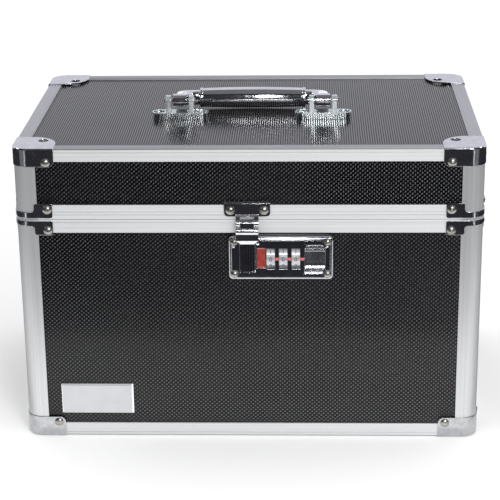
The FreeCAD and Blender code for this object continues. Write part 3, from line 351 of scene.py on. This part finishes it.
housing = plated("chromed_casting", dark=(0.54, 0.55, 0.59), light=(0.68, 0.69, 0.73),
                 smooth=0.06, rough=0.12, wave=0.00001, edge=0.0003)
marks = None
for middle in wheel_middles:
    beside = middle.x + wheel_pitch / 2
    mark = housing.maths("MULTIPLY", housing.within(housing.x, beside, MARK_HALF_WIDTH, MARK_FADE),
                         housing.within(housing.z, middle.z, MARK_HALF_HEIGHT, MARK_FADE))
    mark = housing.maths("MULTIPLY", mark, housing.within(housing.y, lock_low.y, 0.0003, 0.0001))
    marks = housing.maths("MAXIMUM", marks, mark) if marks else mark
plating = housing.shader.inputs["Base Color"].links[0].from_socket
housing.give("Base Color", housing.mix(marks, plating, INDEX_RED))
housing.give("Metallic", housing.ramp(marks, 0.0, 1.0, 1.0, 0.0))
housing.paint("lock_housing")

works = plated("zinc_plated_works", dark=(0.42, 0.42, 0.40), light=(0.62, 0.62, 0.58),
               smooth=0.28, rough=0.45, wave=0.0001, edge=0.0002)
works.paint("lock_cover", "wheel_axle", "handle_nuts")


# ---- Number wheels -----------------------------------------------------------------
# Nickel-plated wheels with ten flats between notches, and the digits 0 to 9 cut in
# and filled with black.

dial = plated("nickel_dial", dark=(0.56, 0.56, 0.58), light=(0.74, 0.74, 0.76),
              smooth=0.26, rough=0.38, wave=0.0001, edge=0.0002)
dial.give("Metallic", 0.72)
dial.paint(*WHEELS)
ink = Finish("black_digit_paint", Specular_IOR_Level=0.4)
ink.give("Base Color", ink.colours(ink.noise(1800.0, 3.0), (0.3, (0.006, 0.006, 0.007)),
                                   (0.8, (0.03, 0.03, 0.034))))
ink.give("Roughness", ink.ramp(ink.noise(900.0), 0.3, 0.7, 0.35, 0.6))
DIGIT_HEIGHT = 0.0034
DIGIT_SLICE = 0.0003        # height of the level strips that let a digit bend
DIGIT_LIFT = 0.00004        # paint above the metal
CAPITAL = 0.72              # height of a digit of the built-in face, as a share of its size


def digit_points(text):
    """Flat triangles of one digit about its middle, cut by level lines DIGIT_SLICE apart, so
    that it can be bent round a wheel."""
    curve = bpy.data.curves.new("digit", "FONT")
    curve.body = text
    curve.align_x = "CENTER"
    curve.align_y = "CENTER"
    curve.resolution_u = 3
    curve.size = DIGIT_HEIGHT / CAPITAL
    holder = bpy.data.objects.new("digit", curve)
    flat = bpy.data.meshes.new_from_object(holder)
    bpy.data.objects.remove(holder)
    shape = bmesh.new()
    shape.from_mesh(flat)
    middle = (max(v.co.y for v in shape.verts) + min(v.co.y for v in shape.verts)) / 2
    for level in np.arange(-DIGIT_HEIGHT / 2, DIGIT_HEIGHT / 2, DIGIT_SLICE):
        bmesh.ops.bisect_plane(shape, geom=shape.verts[:] + shape.edges[:] + shape.faces[:],
                               plane_co=(0, middle + level, 0), plane_no=(0, 1, 0))
    bmesh.ops.triangulate(shape, faces=shape.faces[:])
    shape.verts.index_update()
    points = np.array([v.co for v in shape.verts]) - (0, middle, 0)
    faces = [[v.index for v in face.verts] for face in shape.faces]
    shape.free()
    return points, faces


def as_piece(name, points, faces, finish, sharp=None, merged=False):
    """Object at the origin from points and faces, in one finish. With sharp, it is shaded
    smooth up to edges of that many degrees. With merged, points that meet become one and the
    faces are turned outwards."""
    mesh = bpy.data.meshes.new(name)
    mesh.from_pydata(points, [], faces)
    if merged:
        shape = bmesh.new()
        shape.from_mesh(mesh)
        bmesh.ops.remove_doubles(shape, verts=shape.verts[:], dist=1e-6)
        bmesh.ops.recalc_face_normals(shape, faces=shape.faces[:])
        shape.to_mesh(mesh)
        shape.free()
    if sharp:
        mesh.shade_smooth()
        mesh.set_sharp_from_angle(angle=math.radians(sharp))
    mesh.materials.append(finish.made)
    piece = bpy.data.objects.new(name, mesh)
    bpy.context.scene.collection.objects.link(piece)
    return piece


digits = [digit_points(str(number)) for number in range(10)]


def wheel_digits(name, middle, shown):
    """Ten digits round one wheel. A point (u, v) of a digit whose flat is turned by t goes to
    x = u, y = -r cos(t + v / r), z = r sin(t + v / r) from the wheel's middle."""
    points, faces = [], []
    radius = wheel_radius + DIGIT_LIFT
    for number, (flat, corners) in enumerate(digits):
        turn = 2 * math.pi / len(digits) * (number - shown) + flat[:, 1] / radius
        start = sum(len(part) for part in points)
        bent = np.stack([flat[:, 0], -radius * np.cos(turn), radius * np.sin(turn)], 1)
        points.append(bent + middle)
        faces += [[start + index for index in corner] for corner in corners]
    piece = as_piece(name, np.concatenate(points).tolist(), faces, ink)
    return piece


for name, middle, shown in zip(WHEELS, wheel_middles, (0, 0, 0)):
    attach(wheel_digits(f"{name}_digits", np.array(middle), shown), name)


# ---- Thumb slide and bolt ----------------------------------------------------------
# Chromed slide with a hollow for the thumb under a double ridge, and the red-lacquered
# bolt that it draws down.

slide = plated("chromed_slide", dark=(0.50, 0.51, 0.54), light=(0.64, 0.65, 0.68),
               smooth=0.17, rough=0.26, wave=0.00001, edge=0.0003)
slide.paint("thumb_slide")
low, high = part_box("lock_bolt")
lacquer = Finish("red_lacquer", Coat_Weight=0.4, Coat_Roughness=0.15)
# Painted highlight: the top and bottom ends of the bolt are painted lighter.
ends = lacquer.maths("MAXIMUM", lacquer.within(lacquer.z, low.z, 0.0008, 0.0005),
                     lacquer.within(lacquer.z, high.z, 0.0009, 0.0005))
red = lacquer.colours(lacquer.noise(320.0, 4.0), (0.3, (0.20, 0.013, 0.006)),
                      (0.7, (0.33, 0.024, 0.011)))
lacquer.give("Base Color", lacquer.mix(ends, red, (0.42, 0.06, 0.035)))
lacquer.give("Roughness", lacquer.ramp(lacquer.noise(700.0, 3.0), 0.3, 0.7, 0.32, 0.5))
lacquer.bump(lacquer.noise(500.0), 0.00005, 0.5, 0.0003)
lacquer.paint("lock_bolt")


# ---- Return spring -----------------------------------------------------------------
# Coil of steel wire behind the slide. It pushes the slide back up.

SPRING_WIRE = 0.00045
SPRING_TURNS = 7
STEPS_PER_TURN = 24
SIDES_OF_WIRE = 8


def coil(name, low, high):
    """Wire of radius w round a helix of n turns between two corners of its box: at t along it
    and s round the wire the point is R + w cos(s) from the upright axis, turned by 2 pi n t,
    and w sin(s) above the middle of the wire."""
    wire = SPRING_WIRE / 2
    radius = (high.x - low.x) / 2 - wire
    t = np.linspace(0, 1, STEPS_PER_TURN * SPRING_TURNS + 1)[:, None]
    s = np.linspace(0, 2 * math.pi, SIDES_OF_WIRE, endpoint=False)[None, :]
    turn = 2 * math.pi * SPRING_TURNS * t
    reach = radius + wire * np.cos(s)
    level = low.z + wire + (high.z - low.z - 2 * wire) * t + wire * np.sin(s)
    points = np.stack([(low.x + high.x) / 2 + reach * np.cos(turn),
                       (low.y + high.y) / 2 + reach * np.sin(turn), level], 2)
    index = np.arange(t.size * s.size).reshape(t.size, s.size)
    after = np.roll(index, -1, 1)
    faces = np.stack([index[:-1], index[1:], after[1:], after[:-1]], 2).reshape(-1, 4).tolist()
    faces += [index[0].tolist(), index[-1, ::-1].tolist()]
    return as_piece(name, points.reshape(-1, 3).tolist(), faces, works, sharp=50)


low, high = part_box("slide_spring")
spring = coil("slide_return_spring", low, high)
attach(spring, "base")
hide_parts("slide_spring")
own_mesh(spring)


# ---- Hasp --------------------------------------------------------------------------
# Plate riveted to the lid's rim and a leaf that hangs from it into the lock, both
# chromed. The tongue is pressed with fine upright ribs.

HASP_RIB = 0.0012           # from rib to rib
RIBS_START = 0.005          # below the top of the lock, where the ribs of the tongue begin
RIBS_FULL = 0.006
plate, leaf = (
    plated(name, dark=(0.70, 0.71, 0.75), light=(0.84, 0.85, 0.88), smooth=0.05, rough=0.15)
    for name in ("chromed_plate", "chromed_leaf")
)
plate.paint("hasp_plate", "hasp_pin")
ribs = leaf.maths("SINE", leaf.maths("MULTIPLY", leaf.x, 2 * math.pi / HASP_RIB))
on_tongue = leaf.ramp(leaf.z, lock_high.z - RIBS_FULL, lock_high.z - RIBS_START, 1.0, 0.0)
plating = leaf.shader.inputs["Base Color"].links[0].from_socket
# Painted shade: the grooves between the tongue's ribs are painted darker.
grooves = leaf.maths("MULTIPLY", leaf.ramp(ribs, -0.6, 0.6, 1.0, 0.0), on_tongue)
leaf.give("Base Color", leaf.mix(grooves, plating, (0.24, 0.24, 0.25)))
leaf.bump(leaf.maths("MULTIPLY", ribs, on_tongue), 0.00002, 0.3, 0.0003)
leaf.paint("hasp_leaf")


# ---- Hinges ------------------------------------------------------------------------
# Two plated steel hinges riveted behind, each with a stop finger on its lid leaf that
# holds the lid a little past upright.

hinge_steel = plated("plated_hinges", dark=(0.58, 0.58, 0.60), light=(0.76, 0.76, 0.78),
                     smooth=0.14, rough=0.30)
hinge_steel.paint("hinge_pins")
for side in ("left", "right"):
    hinge_steel.paint(f"lid_hinge_leaf_{side}", f"base_hinge_leaf_{side}")


# ---- Handle ------------------------------------------------------------------------
# Chromed casting: a flat bail with a barrel grip, swinging between the lugs of two
# zinc-plated brackets screwed to the top board.

LUG_START, LUG_FULL = 0.004, 0.006      # heights over the foot where a lug leaves its plate
handle_chrome = plated("chromed_handle", dark=(0.78, 0.79, 0.83), light=(0.90, 0.91, 0.94),
                       smooth=0.03, rough=0.10, wave=0.00015, edge=0.0005)
handle_chrome.paint("handle_bail", "handle_grip", "handle_pins", "handle_screws")
zinc = plated("zinc_plated_brackets", dark=(0.62, 0.68, 0.69), light=(0.78, 0.83, 0.84),
              smooth=0.06, rough=0.18, wave=0.0005, edge=0.0005)
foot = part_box("handle_bracket_left")[0].z
zinc.give("Metallic", zinc.ramp(zinc.z, foot + LUG_START, foot + LUG_FULL, 1.0, 0.72))
zinc.paint("handle_bracket_left", "handle_bracket_right")


# ---- Foam in the base --------------------------------------------------------------
# Block of grey polyether foam that fills the base, with five pockets cut to three
# depths for the aircraft, its transmitter, two lots of batteries and the charger.

polyether = Finish("grey_foam", Specular_IOR_Level=0.1, Sheen_Weight=0.25, Sheen_Roughness=0.6)
cells = polyether.add("ShaderNodeTexVoronoi", polyether.place, None, 1500.0)
pores = polyether.ramp(cells, 0.15, 0.75, 0.0, 1.0)
drift = polyether.noise(30.0, 3.0)
shade = polyether.maths("MULTIPLY_ADD", drift, 0.35, polyether.maths("MULTIPLY", pores, 0.65))
polyether.give("Base Color", polyether.colours(shade, (0.1, (0.012, 0.012, 0.013)),
                                               (0.5, (0.040, 0.041, 0.044)),
                                               (0.95, (0.085, 0.087, 0.092))))
polyether.give("Roughness", polyether.ramp(drift, 0.3, 0.7, 0.86, 1.0))
polyether.bump(polyether.maths("MULTIPLY_ADD", drift, 0.5, pores), 0.0004, 0.7)

CORNER_POINTS = 8
EDGE_STEPS = 6


def ring(box, inset, level, radius):
    """Rounded oblong at one level: CORNER_POINTS round each corner of (x0, x1, y0, y1) drawn in
    by inset, each at radius (cos a, sin a) from the middle of the corner's arc. A radius of 0
    puts them all in the corner."""
    x0, x1, y0, y1 = box[0] + inset, box[1] - inset, box[2] + inset, box[3] - inset
    turn = np.linspace(0, math.pi / 2, CORNER_POINTS)
    parts = []
    for x, y, first in ((x1, y1, 0), (x0, y1, 1), (x0, y0, 2), (x1, y0, 3)):
        angle = turn + first * math.pi / 2
        middle_x = x - math.copysign(radius, x - (x0 + x1) / 2)
        middle_y = y - math.copysign(radius, y - (y0 + y1) / 2)
        parts.append(np.stack([middle_x + radius * np.cos(angle), middle_y + radius * np.sin(angle),
                               np.full(CORNER_POINTS, level)], 1))
    return np.concatenate(parts)


def rolled(box, top, floor, radius, edge, outward):
    """Rings down a wall whose upper edge is rounded over: at angle t the ring lies
    edge (1 - sin t) to the open side of the wall and edge (1 - cos t) below the top."""
    rings = []
    for t in np.linspace(0, math.pi / 2, EDGE_STEPS):
        shift = edge * (1 - math.sin(t)) * outward
        rings.append(ring(box, shift, top - edge * (1 - math.cos(t)), radius - shift))
    return rings + [ring(box, 0, floor, radius)]


def skinned(name, stacks):
    """Mesh of stacks of rings, each ring joined to the next and each stack closed by its last
    ring."""
    points, faces = [], []
    for stack in stacks:
        start = sum(len(part) for part in points)
        count = len(stack[0])
        index = start + np.arange(len(stack) * count).reshape(len(stack), count)
        after = np.roll(index, -1, 1)
        faces += np.stack([index[:-1], after[:-1], after[1:], index[1:]], 2).reshape(-1, 4).tolist()
        faces.append(index[-1].tolist())
        points += stack
    return as_piece(name, np.concatenate(points).tolist(), faces, polyether, sharp=40, merged=True)


foam_low, foam_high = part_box("base_foam")
FOAM_EDGE = 0.0020          # radius of the upper edges
FOAM_CORNER = 0.003
POCKET_CORNER = 0.009
rim = (foam_low.x, foam_high.x, foam_low.y, foam_high.y)
flat = (rim[0] + FOAM_EDGE, rim[1] - FOAM_EDGE, rim[2] + FOAM_EDGE, rim[3] - FOAM_EDGE)
middle_row, left_gap, right_gap = -0.043, -0.051, 0.059     # middles of the walls between pockets
pockets = [     # pocket, its depth, and the part of the top round it
    ((-0.154, 0.052, -0.036, 0.092), 0.118, (flat[0], right_gap, middle_row, flat[3])),
    ((0.066, 0.154, -0.036, 0.092), 0.096, (right_gap, flat[1], middle_row, flat[3])),
    ((-0.154, -0.058, -0.090, -0.050), 0.074, (flat[0], left_gap, flat[2], middle_row)),
    ((-0.044, 0.052, -0.090, -0.050), 0.074, (left_gap, right_gap, flat[2], middle_row)),
    ((0.066, 0.154, -0.090, -0.050), 0.074, (right_gap, flat[1], flat[2], middle_row)),
]
stacks = [rolled(rim, foam_high.z, foam_low.z, FOAM_CORNER, FOAM_EDGE, 1)]
for pocket, depth, around in pockets:
    top = ring(around, 0, foam_high.z, 0)
    wall = rolled(pocket, foam_high.z, foam_high.z - depth, POCKET_CORNER, FOAM_EDGE, -1)
    stacks.append([top] + wall)
base_foam = skinned("base_foam_block", stacks)
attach(base_foam, "base")
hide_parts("base_foam")


# ---- Foam in the lid ---------------------------------------------------------------
# Sheet of the same foam under the lid, cut into rounded bumps that press on what is
# carried below.

BUMP_PITCH = 0.030
BUMP_HEIGHT = 0.011
THINNED = 0.004             # how far in, and how much, the sheet thins out at its edges
SHEET_BACK = 0.0028         # how far the flat side lies below the top of the solid's box
low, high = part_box("lid_foam")


def bumpy(name):
    """Convoluted sheet, flat above. Its lower face lies at
    z = low + h (1 - cos(2 pi x / p) cos(2 pi y / p)) / 2, and rises by w (1 - e / w) ** 2 where
    the distance e to the nearest edge is less than w."""
    x = np.linspace(low.x, high.x, 133)
    y = np.linspace(low.y, high.y, 85)
    across, along = np.meshgrid(x, y, indexing="ij")
    wave = np.cos(2 * np.pi * across / BUMP_PITCH) * np.cos(2 * np.pi * along / BUMP_PITCH)
    edge = np.minimum.reduce([across - low.x, high.x - across, along - low.y, high.y - along])
    soft = np.clip(1 - edge / THINNED, 0, 1) ** 2 * THINNED
    under = low.z + BUMP_HEIGHT * (1 - wave) / 2 + soft
    top = np.full_like(under, high.z - SHEET_BACK)
    sides = [np.stack([across, along, level], 2).reshape(-1, 3) for level in (under, top)]
    points = np.concatenate(sides)
    index = np.arange(x.size * y.size).reshape(x.size, y.size)
    quads = np.stack([index[:-1, :-1], index[:-1, 1:], index[1:, 1:], index[1:, :-1]], 2).reshape(-1, 4)
    faces = quads.tolist() + (quads[:, ::-1] + index.size).tolist()
    border = np.concatenate([index[:, 0], index[-1, 1:], index[-2::-1, -1], index[0, -2:0:-1]])
    after = np.roll(border, -1)
    faces += np.stack([border, after, after + index.size, border + index.size], 1).tolist()
    return as_piece(name, points.tolist(), faces, polyether, sharp=50)


lid_foam = bumpy("lid_foam_sheet")
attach(lid_foam, "lid")
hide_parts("lid_foam")


# ---- Studio ------------------------------------------------------------------------
# Pale floor under a white surround, lit by a soft lamp and a tall strip before the case.
# Only the shiny faces of the case see the plain cards round it: bright and dim ones on
# the floor close by, dark and grey ones further out, and a glowing one high on each side.

FLOOR_REACH = 6.0
FLOOR = (0.002, 0.002)      # both heights of a card that lies on the floor
WALL = (0.0, 4.2)
NEAR, MIDWAY, FAR = -0.31, -0.42, -3.0      # y where the cards before the case meet and end
REAR = 0.6
SIDE, OUTER, WIDE = 0.57, 1.0, 2.5          # x where the cards beside it meet and end


def card(name, corners, finish):
    """Flat stage piece through four corners."""
    piece = as_piece(name, corners, [(0, 1, 2, 3)], finish)
    return piece


def glowing(name, colour, strength=1.0):
    """Matt black card that gives off a light of its own."""
    return Finish(name, Roughness=1.0, Specular_IOR_Level=0.0, Base_Color=(0.0, 0.0, 0.0),
                  Emission_Color=colour, Emission_Strength=strength)


pale = Finish("pale_floor", Roughness=1.0, Specular_IOR_Level=0.0, Base_Color=(0.97, 0.97, 0.97))
card("floor", [(-FLOOR_REACH, -FLOOR_REACH, 0), (FLOOR_REACH, -FLOOR_REACH, 0),
               (FLOOR_REACH, FLOOR_REACH, 0), (-FLOOR_REACH, FLOOR_REACH, 0)], pale)

dark = glowing("dark_card", (0.026, 0.026, 0.030))
grey = glowing("grey_card", (0.15, 0.155, 0.165))
dim = glowing("dim_card", (0.26, 0.265, 0.275))
bright = glowing("bright_card", (1.0, 1.0, 1.0), 1.25)
lamplight = glowing("side_lamp", (1.0, 1.0, 1.0), 8.0)
for name, finish, x, y, z in (      # opposite corners along x, y and z
    ("bright_floor", bright, (-0.40, 0.40), (NEAR, -0.125), FLOOR),
    ("dim_floor_front", dim, (-0.40, 0.40), (MIDWAY, NEAR), (0.003, 0.003)),
    ("dark_floor", dark, (-0.54, 0.54), (FAR, NEAR), FLOOR),
    ("grey_floor_left", grey, (-OUTER, -SIDE), (FAR, MIDWAY), FLOOR),
    ("dark_floor_beside_left", dark, (-OUTER, -SIDE), (MIDWAY, REAR), FLOOR),
    ("grey_floor_right", grey, (SIDE, OUTER), (FAR, MIDWAY), FLOOR),
    ("dark_floor_beside_right", dark, (SIDE, OUTER), (MIDWAY, REAR), FLOOR),
    ("dim_floor_near_left", dim, (-SIDE, -0.20), (-0.125, REAR), FLOOR),
    ("dark_floor_near_right", dark, (0.20, SIDE), (-0.125, REAR), FLOOR),
    ("dark_floor_left", dark, (-WIDE, -OUTER), (FAR, REAR), FLOOR),
    ("dark_floor_right", dark, (OUTER, WIDE), (FAR, REAR), FLOOR),
    ("dark_wall", dark, (-WIDE, WIDE), (FAR, FAR), WALL),
    ("dark_left", dark, (-WIDE, -WIDE), (FAR, REAR), WALL),
    ("dark_right", dark, (WIDE, WIDE), (FAR, REAR), WALL),
    ("dark_ceiling", grey, (-WIDE, WIDE), (FAR, 1.6), (WALL[1], WALL[1])),
    ("side_lamp_left", lamplight, (-2.3, -2.3), (-0.25, 0.25), (1.45, 2.15)),
    ("side_lamp_right", lamplight, (2.3, 2.3), (-0.25, 0.25), (1.45, 2.15)),
):
    if x[0] == x[1]:
        upright = ((y[0], z[0]), (y[1], z[0]), (y[1], z[1]), (y[0], z[1]))
        corners = [(x[0], across, level) for across, level in upright]
    else:
        corners = [(x[0], y[0], z[0]), (x[1], y[0], z[0]), (x[1], y[1], z[1]), (x[0], y[1], z[1])]
    board = card(name, corners, finish)
    board.visible_camera = False
    board.visible_diffuse = False
    board.visible_transmission = False
    board.visible_shadow = False

# The surround is white to the camera and to the soft light, and pale grey to shiny faces.
world = bpy.data.worlds.new("studio")
bpy.context.scene.world = world
world.use_nodes = True
tree = world.node_tree
background = tree.nodes["Background"]
rays = tree.nodes.new("ShaderNodeLightPath")
seen = None
for ray, colour in (("Is Camera Ray", (1.0, 1.0, 1.0, 1)), ("Is Glossy Ray", (0.66, 0.66, 0.72, 1))):
    blend = tree.nodes.new("ShaderNodeMix")
    blend.data_type = "RGBA"
    tree.links.new(rays.outputs[ray], blend.inputs[0])
    if seen:
        tree.links.new(seen, blend.inputs[6])
    else:
        blend.inputs[6].default_value = (1.04, 1.04, 1.04, 1)
    blend.inputs[7].default_value = colour
    seen = blend.outputs[2]
tree.links.new(seen, background.inputs[0])


def lamp(name, place, target, size, power):
    """Soft lamp of that width and height aimed at a point."""
    light = bpy.data.lights.new(name, "AREA")
    light.shape = "RECTANGLE"
    light.size, light.size_y = size
    light.energy = power
    holder = bpy.data.objects.new(name, light)
    bpy.context.scene.collection.objects.link(holder)
    holder.location = place
    holder.rotation_euler = (Vector(target) - Vector(place)).to_track_quat("-Z", "Y").to_euler()


lamp("key", place=(0.75, -2.0, 1.30), target=(0, 0, 0.12), size=(0.7, 0.8), power=20)
lamp("strip", place=(0.0, -2.2, 1.15), target=(0, 0, 0.20), size=(0.09, 1.1), power=5)

# The camera stands before the case and above it, a little to the right.
CAMERA_PLACE = (0.044418, -1.280913, 0.572666)
CAMERA_FORWARD = (-0.03518784, 0.94061823, -0.33763761)
CAMERA_AZIMUTH = math.radians(-2.142)
CAMERA_ROLL = math.radians(-0.731)

camera_data = bpy.data.cameras.new("camera")
camera_data.lens = 119.9
camera_data.sensor_width = 36.0
camera_data.clip_start = 0.01
camera_data.clip_end = 50.0
camera = bpy.data.objects.new("camera", camera_data)
bpy.context.scene.collection.objects.link(camera)
bpy.context.scene.camera = camera
forward = Vector(CAMERA_FORWARD).normalized()
level_right = Vector((math.cos(CAMERA_AZIMUTH), -math.sin(CAMERA_AZIMUTH), 0))
level_up = level_right.cross(forward)
right = math.cos(CAMERA_ROLL) * level_right + math.sin(CAMERA_ROLL) * level_up
up = math.cos(CAMERA_ROLL) * level_up - math.sin(CAMERA_ROLL) * level_right
facing = Matrix((right, up, -forward)).transposed().to_4x4()
camera.matrix_world = Matrix.Translation(CAMERA_PLACE) @ facing

bpy.context.scene.view_settings.view_transform = "Standard"
